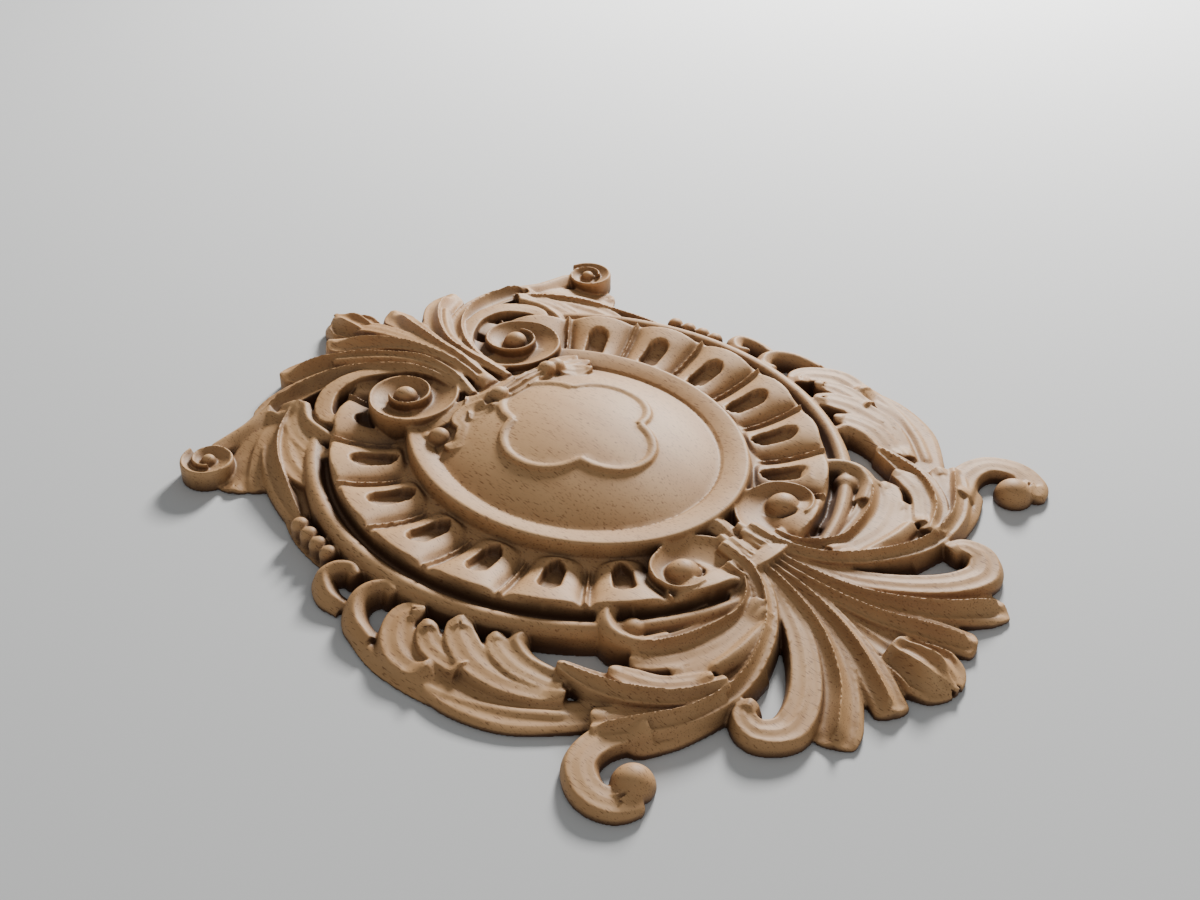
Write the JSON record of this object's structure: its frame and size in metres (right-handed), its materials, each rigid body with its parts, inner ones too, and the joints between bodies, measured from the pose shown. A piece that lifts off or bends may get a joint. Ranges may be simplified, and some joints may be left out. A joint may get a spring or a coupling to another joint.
{
  "type": "shield onlay",
  "caption": "Carved beech cartouche onlay with a domed oval shield in a gadrooned frame, C-scrolls, acanthus leaves and a fan below, flat at the back for gluing to a panel.",
  "frame": {"origin": "centre of the flat back face, on the centre line of the ornament", "axes": "+Z out of the carved face, +Y towards the top of the ornament, +X to the viewer's right"},
  "size_m": [0.2414, 0.313, 0.024],
  "materials": {
    "beech": "sanded, unfinished"
  },
  "bodies": {
    "root": {"shield_onlay": "beech"}
  },
  "joints": []
}
